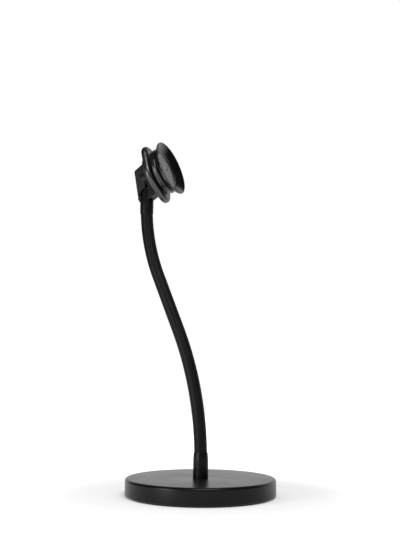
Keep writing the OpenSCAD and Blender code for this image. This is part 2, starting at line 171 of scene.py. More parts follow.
# %% [markdown]
# ## Cutting and joining solids
# The elbow block, the grip and the upper collar have pockets and bores. Blender's Boolean
# modifier joins and cuts closed meshes; it is baked at once, so that the piece is a plain mesh.

# %% Join, cut and bake
def baked(piece):
    """Turns the piece's modifiers into real vertices."""
    result = piece.evaluated_get(bpy.context.evaluated_depsgraph_get())
    ready = bpy.data.meshes.new_from_object(result)
    piece.modifiers.clear()
    piece.data = ready


def joined(piece, other, how):
    """Combines piece with other: how is UNION, DIFFERENCE or INTERSECT."""
    step = piece.modifiers.new(how.lower(), "BOOLEAN")
    step.object, step.operation, step.solver = other, how, "EXACT"
    baked(piece)
    bpy.data.objects.remove(other)
    return piece


def planed(piece, point, outward):
    """Cuts off what lies beyond a plane, given by a point in metres and the side to remove."""
    shell = bmesh.new()
    shell.from_mesh(piece.data)
    bmesh.ops.bisect_plane(shell, geom=shell.verts[:] + shell.edges[:] + shell.faces[:], dist=1e-7,
                           plane_co=point, plane_no=outward, clear_outer=True)
    open_edges = [e for e in shell.edges if e.is_boundary]
    bmesh.ops.holes_fill(shell, edges=open_edges)
    bmesh.ops.recalc_face_normals(shell, faces=shell.faces)
    shell.to_mesh(piece.data)
    shell.free()


# %% Prisms and rods to join and cut with
def arc(radius, start, end, steps, centre=(0, 0)):
    """Points of an arc, angles in degrees."""
    angles = [math.radians(start + (end - start) * k / steps) for k in range(steps + 1)]
    return [(centre[0] + radius * math.cos(t), centre[1] + radius * math.sin(t)) for t in angles]


def bridged(shell, ring, after):
    """Joins two closed rings of equally many points by a band of faces."""
    for k in range(len(ring)):
        n = (k + 1) % len(ring)
        shell.faces.new((ring[k], ring[n], after[n], after[k]))


def prism(name, outline, low, high, place=UPRIGHT):
    """A closed outline in mm, raised from low to high."""
    shell = bmesh.new()
    floor = [shell.verts.new((x * MM, y * MM, low * MM)) for x, y in outline]
    roof = [shell.verts.new((x * MM, y * MM, high * MM)) for x, y in outline]
    shell.faces.new(floor[::-1])
    shell.faces.new(roof)
    bridged(shell, floor, roof)
    return piece_of(name, shell, place)


def rod(name, radius, low, high, place, steps=96):
    """A round prism from low to high, in mm."""
    return prism(name, arc(radius, 0, 360, steps)[:-1], low, high, place)


# %% [markdown]
# ## Finishes
# Most pieces of this stand are black, so their finish is told apart only by gloss and grain.
# Each finish has a slow mottle in its colour and gloss, as a sprayed or moulded surface has,
# and a fine grain that bends the light. The grain is a bump of a few hundredths of a millimetre.

# %% One builder for coats, plastics, rubbers and metals
GRAIN_DEPTH = 0.05
MOTTLE_LOW, MOTTLE_HIGH = 0.3, 0.7


def surface(name, colour, rough, grain=0.5, bump=0.12, mottle=14.0, swing=0.12, rough_swing=0.05,
            metal=0.0, specular=0.5):
    """A finish from noise: grain and mottle are feature sizes in mm."""
    made = bpy.data.materials.new(name)
    made.use_nodes = True
    nodes, links = made.node_tree.nodes, made.node_tree.links
    shader = nodes["Principled BSDF"]
    shader.inputs["Metallic"].default_value = metal
    shader.inputs["Specular IOR Level"].default_value = specular
    place = nodes.new("ShaderNodeTexCoord")
    slow, fine = nodes.new("ShaderNodeTexNoise"), nodes.new("ShaderNodeTexNoise")
    for noise, size, detail in ((slow, mottle, 4.0), (fine, grain, 3.0)):
        noise.inputs["Scale"].default_value = 1 / (size * MM)
        noise.inputs["Detail"].default_value = detail
        links.new(place.outputs["Object"], noise.inputs["Vector"])
    tint = nodes.new("ShaderNodeValToRGB")
    dark, pale = tint.color_ramp.elements
    dark.position, pale.position = MOTTLE_LOW, MOTTLE_HIGH
    dark.color = [c * (1 - swing) for c in colour] + [1]
    pale.color = [min(1, c * (1 + swing)) for c in colour] + [1]
    links.new(slow.outputs["Fac"], tint.inputs["Fac"])
    links.new(tint.outputs["Color"], shader.inputs["Base Color"])
    gloss = nodes.new("ShaderNodeMapRange")
    for socket, value in (("From Min", MOTTLE_LOW), ("From Max", MOTTLE_HIGH),
                          ("To Min", rough - rough_swing), ("To Max", rough + rough_swing)):
        gloss.inputs[socket].default_value = value
    links.new(slow.outputs["Fac"], gloss.inputs["Value"])
    links.new(gloss.outputs["Result"], shader.inputs["Roughness"])
    relief = nodes.new("ShaderNodeBump")
    relief.inputs["Strength"].default_value = bump
    relief.inputs["Distance"].default_value = GRAIN_DEPTH * MM
    links.new(fine.outputs["Fac"], relief.inputs["Height"])
    links.new(relief.outputs["Normal"], shader.inputs["Normal"])
    return made


# %% [markdown]
# The base wears a satin powder coat with a very fine orange peel. The neck's sleeve is matt
# rubber, the collars are black anodised aluminium, the elbow block is cast and sprayed, and the
# grip and the disc behind the cup are moulded with a fine texture. The cup is the glossiest
# piece of all, because a vacuum cup has to be smooth to hold. A low specular level keeps the
# sides that face the viewer black, and still lets a flat view across a surface shine.

# %% The black finishes
BASE_COAT = surface("base_powder_coat", (0.004, 0.004, 0.0042), 0.30,
                    grain=0.55, bump=0.03, mottle=22, rough_swing=0.02, specular=0.17)
SLEEVE_RUBBER = surface("sleeve_matt_rubber", (0.0035, 0.0035, 0.0037), 0.5,
                        grain=0.35, bump=0.2, mottle=9, specular=0.12)
COLLAR_ANODISED = surface("collar_anodised_black", (0.0035, 0.0035, 0.0037), 0.35,
                          grain=0.2, bump=0.1, mottle=5, specular=0.14)
BLOCK_COAT = surface("block_sprayed_casting", (0.009, 0.009, 0.0094), 0.40,
                     grain=0.45, bump=0.06, mottle=11, swing=0.05, specular=0.11)
GRIP_PLASTIC = surface("grip_fine_texture", (0.009, 0.009, 0.0095), 0.33,
                       grain=0.28, bump=0.04, mottle=12, specular=0.72)
CARRIER_PLASTIC = surface("carrier_satin_plastic", (0.005, 0.005, 0.0053), 0.32,
                          grain=0.3, bump=0.08, mottle=12)
CUP_RUBBER = surface("cup_glossy_rubber", (0.003, 0.003, 0.0032), 0.2,
                     grain=1.4, bump=0.03, mottle=7, rough_swing=0.03, specular=0.52)
PAD_RUBBER = surface("foot_pad_rubber", (0.01, 0.01, 0.01), 0.7, grain=0.6, bump=0.6, mottle=16)
print("black finishes:", len(bpy.data.materials))

# %% The metals and the nylon, which show only from behind, in a gap or inside
ZINC_STEEL = surface("zinc_plated_steel", (0.55, 0.55, 0.53), 0.32,
                     grain=0.15, bump=0.1, mottle=3, metal=1.0)
BLACK_OXIDE = surface("black_oxide_screw", (0.03, 0.03, 0.032), 0.35,
                      grain=0.2, bump=0.12, mottle=2, metal=0.6)
SPRING_STEEL = surface("spring_wire", (0.45, 0.44, 0.42), 0.28,
                       grain=0.1, bump=0.08, mottle=2, metal=1.0)
# Painted shade: the nylon washer is tinted near black so that it stands for the shaded gap between the
# flange and the grip.
NYLON_GAP_SHADE = surface("nylon_painted_gap_shade", (0.03, 0.03, 0.03), 0.6, grain=0.4, bump=0.08, mottle=6)
print("finishes in all:", len(bpy.data.materials))

# %% [markdown]
# ## The solids that stay as they are
# Bolts, washers, ferrules and the inner pieces of the lock have the right shape already. So has
# the disc behind the cup, which is moulded in one piece with its spindle and has round edges.
# They only need a finish of their own.

# %% Give the kept solids their finish
def dressed(piece, finish):
    """The piece, or a solid that stays, with this finish alone."""
    piece.data.materials.clear()
    piece.data.materials.append(finish)


KEPT = {
    "foot_pad": PAD_RUBBER, "base_bolt": ZINC_STEEL, "base_washer": ZINC_STEEL,
    "lower_ferrule": ZINC_STEEL, "upper_ferrule": ZINC_STEEL, "neck_set_screw": BLACK_OXIDE,
    "spindle_screw": BLACK_OXIDE, "slip_washer": NYLON_GAP_SHADE, "plunger": ZINC_STEEL,
    "cross_pin": ZINC_STEEL, "plunger_spring": SPRING_STEEL, "cup_carrier": CARRIER_PLASTIC,
}
for node, finish in KEPT.items():
    dressed(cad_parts[node], finish)
print("solids kept:", ", ".join(sorted(KEPT)))

# %% [markdown]
# ## The base
# A heavy disc, turned, with a broad rounding on its top edge, a small bevel below, a recess for
# the pad and a counterbore for the bolt. Spinning one section gives all of them at once, and
# the rounding gets enough steps that its highlight stays a clean line.

# %% Set a piece on its body
def put_on(piece, body, finish, slot, *nodes):
    """Gives the piece its finish, sets it on its body and lets it stand for its solids."""
    dressed(piece, finish)
    if body:
        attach(piece, body)
    if nodes:
        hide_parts(*nodes)
    print(piece.name, "faces:", len(piece.data.polygons))


# %% Turn the base
BEVEL, TOP_ROUND = 1.0, 2.6
PAD_INSET, PAD_RECESS, PAD_GAP = 3.0, 1.0, 0.05
BOLT_HOLE_R, WASHER_BORE_R, BOLT_WEB = 4.25, 8.8, 7.0
base_section = eased(
    [(BASE_R - PAD_INSET, PAD_SHOW), (BASE_R - BEVEL, PAD_SHOW), (BASE_R, PAD_SHOW + BEVEL),
     (BASE_R, BASE_H), (BOLT_HOLE_R, BASE_H), (BOLT_HOLE_R, BASE_H - BOLT_WEB),
     (WASHER_BORE_R, BASE_H - BOLT_WEB), (WASHER_BORE_R, PAD_SHOW + PAD_RECESS),
     (BASE_R - PAD_INSET + PAD_GAP, PAD_SHOW + PAD_RECESS)],
    [0.2, 0.3, 0.3, TOP_ROUND, 0.2, 0, 0.2, 0.2, 0.1], steps=10)
put_on(turned("base_shell", base_section, turns=320),
       "base", BASE_COAT, "base_black", "base_weight")

# %% [markdown]
# ## The collars
# Each collar is a short sleeve with a long taper at its mouth, thin where it meets the
# rubber. The upper one is the same idea upside down, so one section serves both. It runs up
# into the elbow block, and a hole lets the block's set screw pass.

# %% Section of a collar
ON_FERRULE_R, ON_SLEEVE_R, COLLAR_TAPER = 5.95, 6.65, 7.0
LOW_COLLAR_R, HIGH_COLLAR_R, COLLAR_MOUTH_R = 7.6, 7.1, 7.0


def collar_section(height, inner_top, outer):
    """Section of a collar that stands on its wide end."""
    return eased(
        [(ON_FERRULE_R, 0), (outer, 0), (outer, height - COLLAR_TAPER), (COLLAR_MOUTH_R, height),
         (ON_SLEEVE_R, height), (ON_SLEEVE_R, inner_top), (ON_FERRULE_R, inner_top)],
        [0.15, 0.3, 4.0, 0.12, 0.1, 0.05, 0.05], steps=6)


print("a collar's section:", len(collar_section(COLLAR_LOW_H, FERRULE_H, LOW_COLLAR_R)), "points")

# %% Turn the collars
low_collar = turned("collar_at_base", collar_section(COLLAR_LOW_H, FERRULE_H + END_GAP, LOW_COLLAR_R),
                    turns=128, place=Matrix.Translation((0, 0, BASE_H * MM)))
put_on(low_collar, "base", COLLAR_ANODISED, "collar_black", "lower_collar")
AT_BLOCK = Matrix.Translation((0, NECK_Y * MM, BLOCK_Z * MM))
UPSIDE_DOWN = (AT_BLOCK @ Matrix.Translation((0, 0, COLLAR_SINK * MM))
               @ Matrix.Rotation(math.pi, 4, "X"))
high_collar = turned("collar_at_block", collar_section(COLLAR_HIGH_H, FERRULE_H, HIGH_COLLAR_R),
                     turns=128, place=UPSIDE_DOWN)
SET_SCREW_Z, SET_SCREW_PASS_R, PAST_COLLAR = 6, 2.25, 14
SET_SCREW_HOLE = (AT_BLOCK @ Matrix.Translation((0, 0, SET_SCREW_Z * MM))
                  @ Matrix.Rotation(-math.pi / 2, 4, "X"))
screw_pass = rod("screw_pass", SET_SCREW_PASS_R, 0, PAST_COLLAR, SET_SCREW_HOLE, 48)
joined(high_collar, screw_pass, "DIFFERENCE")
smooth(high_collar)
put_on(high_collar, "head", COLLAR_ANODISED, "collar_black", "upper_collar")

# %% [markdown]
# ## The neck
# The sleeve follows one smooth line: straight, bend, straight, bend, straight.

# %% The neck's centre line
def neck_stop(way):
    """Point and lean of the neck's centre line, that many mm above the start of the lower bend."""
    low_arc, high_arc = LOW_BEND * LEAN, HIGH_BEND * LEAN
    if way < 0:
        return 0.0, LOW_Z + way, 0.0
    if way < low_arc:
        lean = way / LOW_BEND
        return LOW_BEND * (1 - math.cos(lean)), LOW_Z + LOW_BEND * math.sin(lean), lean
    if way < low_arc + STRAIGHT:
        along = way - low_arc
        return (LOW_BEND * (1 - math.cos(LEAN)) + along * math.sin(LEAN),
                LOW_Z + LOW_BEND * math.sin(LEAN) + along * math.cos(LEAN), LEAN)
    left = low_arc + STRAIGHT + high_arc - way
    if left > 0:
        lean = left / HIGH_BEND
        return NECK_Y - HIGH_BEND * (1 - math.cos(lean)), HIGH_Z - HIGH_BEND * math.sin(lean), lean
    return NECK_Y, HIGH_Z - left, 0.0


NECK_WAY = (LOW_BEND + HIGH_BEND) * LEAN + STRAIGHT
print("the neck's line is", round(NECK_WAY, 1), "mm long between its straight ends")


# %% Sweep a tube along it
def neck_sweep(name, outer, inner, start, end, sides=72, rings=170):
    """A tube, or a rod where inner is 0, along the neck's line, radii in mm."""
    shell, rows = bmesh.new(), []
    round_it = [2 * math.pi * k / sides for k in range(sides)]
    for i in range(rings + 1):
        y, z, lean = neck_stop(start + (end - start) * i / rings)
        rows.append([[shell.verts.new((r * math.cos(t) * MM,
                                       (y + r * math.sin(t) * math.cos(lean)) * MM,
                                       (z - r * math.sin(t) * math.sin(lean)) * MM))
                      for t in round_it] for r in (outer, inner) if r])
    for skin in range(len(rows[0])):
        for row, after in zip(rows, rows[1:]):
            bridged(shell, row[skin], after[skin])
    for row in (rows[0], rows[-1]):
        if inner:
            bridged(shell, row[0], row[1])
        else:
            shell.faces.new(row[0])
    bmesh.ops.recalc_face_normals(shell, faces=shell.faces)
    piece = piece_of(name, shell)
    smooth(piece, 50)
    return piece


# %% The sleeve and the core inside it
SLEEVE_R, SLEEVE_BORE_R, CORE_R = 6.5, 4.5, 4.3
SLEEVE_GAP, FERRULE_SOCKET = 0.2, 9.0
sleeve = neck_sweep("sleeve_of_neck", SLEEVE_R, SLEEVE_BORE_R,
                    LOW_BEND_IN + SLEEVE_GAP, NECK_WAY - HIGH_BEND_IN - SLEEVE_GAP)
core = neck_sweep("core_of_neck", CORE_R, 0, LOW_BEND_IN - FERRULE_SOCKET + END_GAP,
                  NECK_WAY - HIGH_BEND_IN + FERRULE_SOCKET - END_GAP, sides=32, rings=140)
for tube, finish, slot, node in ((sleeve, SLEEVE_RUBBER, "sleeve_rubber", "neck_sleeve"),
                                 (core, ZINC_STEEL, "zinc_steel", "neck_core")):
    put_on(tube, None, finish, slot, node)
    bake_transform(tube)

# %% [markdown]
# ## Stations along the cup's axis
# Every piece of the head is placed by how far it stands ahead of the neck's axis, measured
# along the cup's axis: block, flange, washer, grip, disc, cup.

# %% Stations along the cup's axis, in mm ahead of the neck's axis
RIM, PAD_FACE, SKIN_BACK = 30.0, 24.5, 22.9
CARRIER_FRONT = 23.4
GRIP_FRONT, GRIP_BACK = 15.8, 8.2
BLOCK_FRONT = 7.4
print("grip between", GRIP_BACK, "and", GRIP_FRONT, "- cup rim at", RIM)

# %% [markdown]
# ## The elbow block
# The block is cast and then sprayed, so its edges are soft. It has two flat cheeks that lean
# with its rear face, a round cut under them that leaves the collar free on both sides, a narrow
# web that holds the collar, and the spindle's round boss. Closed prisms are drawn for each and
# joined, and a voxel remesh with a light smoothing then rounds every edge by about half a
# millimetre, as casting does. The flange that the washer and the grip run on is turned. Shapes
# that only cut run well past the block; the PAST sizes say how far.

# %% Sizes of the elbow block, in mm from the neck's axis and the block's datum
CHEEK_HALF, BLOCK_BACK, BLOCK_CORNER, REAR_TOP = 10.2, 11.6, 3.2, 29.3
TOP_RISE, REAR_LEAN, SIDE_LEAN = math.tan(math.radians(36)), math.radians(9.8), math.radians(2.5)
CHEEK_TIP, CHEEK_FRONT, ARCH_R, ARCH_FRONT = 2.6, 2.2, 13.0, 8.0
WEB_HALF, WEB_R, WEB_TOP = 6.0, 9.5, 24
WEB_DROP, WEB_REACH, WEB_SLOPE = 3.3, 21.2, math.radians(33)
COLLAR_HOLE_R, BOSS_R, CAST_FRONT = 7.15, 10.6, BLOCK_FRONT - 0.3
SPINDLE_BORE_R, SPINDLE_BORE_END = 9.05, -6.1
RELIEF_R, RELIEF_DEEP = 15.0, 1.0
SCREW_HOLE_R, SCREW_SEAT_R, SCREW_SEAT_AT = 2.75, 5.0, -8.8
CLAMP_HOLE_R, CLAMP_HOLE_END = 2.05, 20
PAST_BACK, PAST_PLAN, PAST_FRONT, PAST_REAR = 30, 40, 12, 4
ACROSS = AT_BLOCK @ Matrix(((0, 0, 1, 0), (1, 0, 0, 0), (0, 1, 0, 0), (0, 0, 0, 1)))


def behind_axis(height, station):
    """How far behind the neck's axis a plane square to the cup's axis lies at that height."""
    return ((height - AXIS_RISE) * math.sin(TILT) - station) / math.cos(TILT)


# %% Draw the cheeks in side view
INNER_CORNER, FRONT_CORNER = AXIS_RISE - 0.4, AXIS_RISE + 2.4
top_y = (((REAR_TOP + BLOCK_BACK * TOP_RISE - AXIS_RISE) * math.sin(TILT) - CAST_FRONT)
         / (math.cos(TILT) + TOP_RISE * math.sin(TILT)))
arch_end = math.degrees(math.asin(CHEEK_TIP / ARCH_R))
arch_start = math.degrees(math.acos((ARCH_FRONT - CHEEK_FRONT) / ARCH_R))
cheek_view = ([(BLOCK_BACK + PAST_REAR, CHEEK_TIP)]
              + arc(ARCH_R, arch_end, arch_start, 24, (-ARCH_FRONT, 0))
              + [(-CHEEK_FRONT, INNER_CORNER),
                 (behind_axis(FRONT_CORNER, CAST_FRONT), FRONT_CORNER),
                 (top_y, REAR_TOP + (BLOCK_BACK - top_y) * TOP_RISE),
                 (BLOCK_BACK + PAST_REAR, REAR_TOP - PAST_REAR * TOP_RISE)])
cheek_plan = ([(-CHEEK_HALF, -PAST_PLAN), (CHEEK_HALF, -PAST_PLAN)]
              + arc(BLOCK_CORNER, 0, 90, 10, (CHEEK_HALF - BLOCK_CORNER, -BLOCK_CORNER))
              + arc(BLOCK_CORNER, 90, 180, 10, (BLOCK_CORNER - CHEEK_HALF, -BLOCK_CORNER)))
LEANING = (AT_BLOCK @ Matrix.Translation((0, BLOCK_BACK * MM, REAR_TOP * MM))
           @ Matrix.Rotation(-REAR_LEAN, 4, "X"))
block = prism("elbow_block", cheek_view, -CHEEK_HALF, CHEEK_HALF, ACROSS)
joined(block, prism("cheek_plan", cheek_plan, -PAST_PLAN, PAST_PLAN, LEANING), "INTERSECT")
for side in (-1, 1):
    planed(block, AT_BLOCK @ Vector((side * CHEEK_HALF * MM, 0, REAR_TOP * MM)),
           (side * math.cos(SIDE_LEAN), 0, -math.sin(SIDE_LEAN)))
print("cheeks:", len(block.data.polygons), "faces")

# %% Add the web and the boss
WEB_OVERLAP, BOSS_FROM = 0.5, -3
toe = Vector((-CAST_FRONT * math.cos(TILT) - WEB_REACH * math.sin(TILT),
              AXIS_RISE + CAST_FRONT * math.sin(TILT) - WEB_REACH * math.cos(TILT)))
web_view = [(0, -WEB_DROP), (0, AXIS_RISE), (behind_axis(AXIS_RISE, CAST_FRONT), AXIS_RISE),
            tuple(toe), (toe.x + (toe.y + WEB_DROP) / math.tan(WEB_SLOPE), -WEB_DROP)]
web = prism("web", web_view[::-1], -WEB_HALF, WEB_HALF, ACROSS)
web_rear = turned("web_rear", [(0, -WEB_DROP), (COLLAR_HOLE_R + 0.1, -WEB_DROP), (WEB_R, 0),
                               (WEB_R, WEB_TOP), (0, WEB_TOP)], 96, AT_BLOCK)
for side in (-1, 1):
    planed(web_rear, (side * WEB_HALF * MM, 0, 0), (side, 0, 0))
planed(web_rear, (0, (NECK_Y - WEB_OVERLAP) * MM, 0), (0, -1, 0))
for part in (web, web_rear, rod("boss", BOSS_R, BOSS_FROM, CAST_FRONT, ON_CUP_AXIS)):
    joined(block, part, "UNION")
print("with web and boss:", len(block.data.polygons), "faces")

# %% Bore it for the collar, the spindle and the two screws
BORES = (
    ("collar_pocket", COLLAR_HOLE_R, -PAST_BACK, COLLAR_SINK + END_GAP, AT_BLOCK),
    ("spindle_bore", SPINDLE_BORE_R, SPINDLE_BORE_END, PAST_FRONT, ON_CUP_AXIS),
    ("pin_relief", RELIEF_R, BLOCK_FRONT - RELIEF_DEEP, PAST_FRONT, ON_CUP_AXIS),
    ("screw_hole", SCREW_HOLE_R, -PAST_BACK, 0, ON_CUP_AXIS),
    ("screw_seat", SCREW_SEAT_R, -PAST_BACK, SCREW_SEAT_AT, ON_CUP_AXIS),
    ("clamp_hole", CLAMP_HOLE_R, 0, CLAMP_HOLE_END, SET_SCREW_HOLE),
)
for name, radius, low, high, place in BORES:
    joined(block, rod(name, radius, low, high, place), "DIFFERENCE")
print("block before softening:", len(block.data.polygons), "faces")

# %% Soften its edges and add the flange
CAST_GRID, CAST_SMOOTHING, CAST_ROUNDS = 0.25, 0.5, 5
grid = block.modifiers.new("cast_skin", "REMESH")
grid.mode, grid.voxel_size = "VOXEL", CAST_GRID * MM
soft = block.modifiers.new("worn_mould", "SMOOTH")
soft.factor, soft.iterations = CAST_SMOOTHING, CAST_ROUNDS
baked(block)
smooth(block, 60)
put_on(block, "head", BLOCK_COAT, "block_black", "neck_block")
FLANGE_R, FLANGE_ROOT_R, FLANGE_BORE_R = 21.8, 14.0, 9.1
FLANGE_RIM, FLANGE_T = 0.7, 2.2
flange_section = eased(
    [(FLANGE_BORE_R, BLOCK_FRONT - FLANGE_T), (FLANGE_ROOT_R, BLOCK_FRONT - FLANGE_T),
     (FLANGE_R, BLOCK_FRONT - FLANGE_RIM), (FLANGE_R, BLOCK_FRONT), (RELIEF_R, BLOCK_FRONT),
     (RELIEF_R, BLOCK_FRONT - RELIEF_DEEP), (FLANGE_BORE_R, BLOCK_FRONT - RELIEF_DEEP)],
    [0.1, 2.0, 0.2, 0.2, 0.1, 0.1, 0.1], steps=6)
put_on(turned("flange_of_block", flange_section, 192, ON_CUP_AXIS),
       "head", BLOCK_COAT, "block_black", "neck_block")

# %% [markdown]
# ## The twist grip
# An oval plate that a finger and a thumb can turn from either side, with a round hub in front.
# Its outline is a big circle joined to two smaller ones. Sweeping the rim's profile round that
# outline keeps the rim the same everywhere: a small rounding behind and a long one to the
# front. Two curved pockets in its back hold the ramps that the cross pin climbs.

# %% Outline of the grip at any inset
GRIP_R, GRIP_END_R, GRIP_HALF, GRIP_TURN = 23.0, 14.5, 32.2, 15.0
END_STEPS, FLANK_STEPS, RUN_STEPS = 64, 40, 8
END_AT = GRIP_HALF - GRIP_END_R
TANGENT = math.degrees(math.acos((GRIP_R - GRIP_END_R) / END_AT))


def straight_run(start, end):
    """The points between two ends of a straight stretch, without the ends."""
    return [tuple(Vector(start).lerp(Vector(end), t / RUN_STEPS)) for t in range(1, RUN_STEPS)]


def grip_outline(inset):
    """The oval, drawn inward by the inset, always with the same number of points."""
    outline = []
    for sign, base in ((1, 90), (-1, 270)):
        end = arc(GRIP_END_R - inset, base - TANGENT, base + TANGENT, END_STEPS, (0, sign * END_AT))
        flank = arc(GRIP_R - inset, base + TANGENT, base + 180 - TANGENT, FLANK_STEPS)
        next_end = arc(GRIP_END_R - inset, base + 180 - TANGENT, base + 180, 1,
                       (0, -sign * END_AT))
        outline += (end + straight_run(end[-1], flank[0])
                    + flank + straight_run(flank[-1], next_end[0]))
    return outline


PLATE_FRONT, WAIST_BACK, WAIST_FRONT = 14.9, 10.3, 11.0
BACK_ROUND, FRONT_ROUND = 1.7, 5.4
ROUND_STEPS = 14
QUARTER = [math.pi / 2 * k / ROUND_STEPS for k in range(ROUND_STEPS + 1)]
levels = [(BACK_ROUND * (1 - math.sin(t)),
           WAIST_BACK - (WAIST_BACK - GRIP_BACK) * math.cos(t)) for t in QUARTER]
levels += [(FRONT_ROUND * (1 - math.cos(t)),
            WAIST_FRONT + (PLATE_FRONT - WAIST_FRONT) * math.sin(t)) for t in QUARTER]
print("grip outline:", len(grip_outline(0)), "points, rim levels:", len(levels))

# %% Loft the grip between its levels and round its bore
BORE_R, HUB_R, EASE = 9.06, 16.0, 0.3


def lofted(name, loops, place):
    """A closed ring of loops that all have the same number of points, each (x, y, z) in mm."""
    shell = bmesh.new()
    rows = [[shell.verts.new((x * MM, y * MM, z * MM)) for x, y, z in loop] for loop in loops]
    for row, after in zip(rows, rows[1:] + rows[:1]):
        bridged(shell, row, after)
    bmesh.ops.recalc_face_normals(shell, faces=shell.faces)
    return piece_of(name, shell, place)


def hub_loop(radius, height):
    """A circle whose points stand at the same bearings as the outline's."""
    return [(radius * x / math.hypot(x, y), radius * y / math.hypot(x, y), height)
            for x, y in grip_outline(FRONT_ROUND)]


loops = [hub_loop(BORE_R, GRIP_BACK + EASE), hub_loop(BORE_R + EASE, GRIP_BACK)]
loops += [[(x, y, height) for x, y in grip_outline(inset)] for inset, height in levels]
loops += [hub_loop(r, z) for r, z in ((HUB_R, PLATE_FRONT), (HUB_R, GRIP_FRONT - EASE),
                                      (HUB_R - EASE, GRIP_FRONT), (BORE_R + EASE, GRIP_FRONT),
                                      (BORE_R, GRIP_FRONT - EASE))]
grip = lofted("twist_grip_oval", loops,
              ON_CUP_AXIS @ Matrix.Rotation(math.radians(GRIP_TURN), 4, "Z"))
print("grip before its pockets:", len(grip.data.polygons), "faces")

# %% Cut the two curved pockets and leave their ramps standing
STROKE, LOCK_TURN, SPARE, FREE = 2.4, 75.0, 12.0, 0.3
RAMP_IN, RAMP_OUT, RAMP_DEPTH = 10.5, 13.5, 3.9
POCKET_IN, POCKET_R = 8.0, 15.0
RAMP_R = (RAMP_IN + RAMP_OUT) / 2
RAMP_MID = GRIP_FRONT - RAMP_DEPTH
POCKET_FLOOR = RAMP_MID + STROKE / 2 * RAMP_OUT / RAMP_R + FREE
RAMP_TILT = math.atan(STROKE / 2 / (RAMP_R * math.sin(math.radians(LOCK_TURN / 2))))


def sector(name, inner, outer, low, high, spare, place):
    """A part of a ring, square in section."""
    outline = arc(outer, -LOCK_TURN - spare, spare, 48) + arc(inner, spare, -LOCK_TURN - spare, 48)
    return prism(name, outline, low, high, place)


for turn in (0, 180):
    here = ON_CUP_AXIS @ Matrix.Rotation(math.radians(turn), 4, "Z")
    pocket = sector("pocket", POCKET_IN, POCKET_R, GRIP_BACK - 1, POCKET_FLOOR, SPARE, here)
    ramp = sector("ramp", RAMP_IN, RAMP_OUT, GRIP_BACK - 2, GRIP_FRONT, SPARE + 2, here)
    slope = (here @ Matrix.Rotation(math.radians(-LOCK_TURN / 2), 4, "Z")
             @ Matrix.Translation((0, 0, RAMP_MID * MM)) @ Matrix.Rotation(RAMP_TILT, 4, "X"))
    planed(ramp, slope.translation, slope.to_3x3() @ Vector((0, 0, -1)))
    joined(grip, joined(pocket, ramp, "DIFFERENCE"), "DIFFERENCE")
smooth(grip, 40)
put_on(grip, "grip", GRIP_PLASTIC, "grip_black", "twist_grip")

# %% [markdown]
# ## The vacuum cup
# Seen from outside, the cup is a flared skirt on a foot that sits on the disc, with a bead that
# snaps into the disc's groove. Inside it has a conical wall, a shallow groove and a flat pad
# with a small sprue mark at its centre. The lock draws the pad back, so the inner face is a
# sheet of its own, apart from the skirt, which stays with the head.

# %% Sizes of the cup, in mm
RIM_R, FOOT_R, PAD_R, GROOVE_R, GROOVE_DEEP = 29.5, 22.4, 19.5, 20.6, 0.6
BEAD_IN, BEAD_OUT, BEAD_H = 20.65, 21.0, 1.4
SKIRT_WALL, SKIRT_THINNING = 1.0, 0.4
LIP_IN, LIP_UNDER, LIP_H, LIP_EASE = 28.7, 0.35, 1.3, 0.08
MARK_R, MARK_FLOOR_R, MARK_DEEP = 1.3, 1.0, 0.45
HEAD_RECESS_R, FACE_WALL = 17.7, 0.45
FLARE_CURVE, CONE_CURVE = 1.5, 0.9
STEPS = 24


def flare(t, lift=0.0):
    """The outside of the skirt, from its foot at t = 0 to the lip at t = 1; lifted, its inside."""
    rise = RIM - LIP_H - CARRIER_FRONT - lift * SKIRT_THINNING
    return FOOT_R + (RIM_R - LIP_UNDER - FOOT_R) * t, CARRIER_FRONT + lift + rise * t ** FLARE_CURVE


def inner_wall(t, drop=0.0):
    """The inner cone, from the lip at t = 0 to the groove at t = 1."""
    fall = RIM - LIP_EASE - PAD_FACE
    return LIP_IN - (LIP_IN - GROOVE_R) * t, RIM - LIP_EASE - drop - fall * t ** CONE_CURVE


print("the skirt goes from", flare(0), "to", [round(v, 2) for v in flare(1)])

# %% Turn the skirt and the inner face
bead = [(BEAD_IN, CARRIER_FRONT - BEAD_H), (BEAD_OUT, CARRIER_FRONT - BEAD_H),
        (BEAD_OUT, CARRIER_FRONT)]
lip = [(RIM_R - 0.08, RIM - 0.9), (RIM_R, RIM - 0.6), (RIM_R - 0.06, RIM - 0.3),
       (RIM_R - 0.22, RIM - 0.1), (RIM_R - 0.42, RIM), (LIP_IN + 0.1, RIM), (LIP_IN - 0.1, RIM - 0.35)]
skirt_section = (bead + [flare(k / STEPS) for k in range(STEPS + 1)] + lip
                 + [flare(k / STEPS, SKIRT_WALL) for k in range(STEPS - 2, -1, -1)]
                 + [(BEAD_IN, CARRIER_FRONT + SKIRT_WALL)])
pad_and_groove = eased(
    [(GROOVE_R, PAD_FACE - GROOVE_DEEP), (PAD_R + 0.1, PAD_FACE - GROOVE_DEEP), (PAD_R, PAD_FACE),
     (MARK_R, PAD_FACE), (MARK_FLOOR_R, PAD_FACE - MARK_DEEP)],
    [0.2, 0.15, 0.3, 0.12, 0.1], steps=4)
pad_back = [(0, PAD_FACE - MARK_DEEP), (0, SKIN_BACK), (HEAD_RECESS_R, SKIN_BACK),
            (HEAD_RECESS_R, CARRIER_FRONT), (GROOVE_R, CARRIER_FRONT)]
face_section = ([inner_wall(k / STEPS) for k in range(STEPS + 1)] + pad_and_groove + pad_back
                + [inner_wall(k / STEPS, FACE_WALL) for k in range(STEPS - 1, 0, -1)]
                + [(LIP_IN + 0.05, RIM - 0.3)])
skirt = turned("cup_skirt", skirt_section, 256, ON_CUP_AXIS)
put_on(skirt, "head", CUP_RUBBER, "cup_rubber", "suction_cup")
cup_face = turned("cup_inner_face", face_section, 256, ON_CUP_AXIS)
put_on(cup_face, None, CUP_RUBBER, "cup_rubber", "suction_cup")
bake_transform(cup_face)

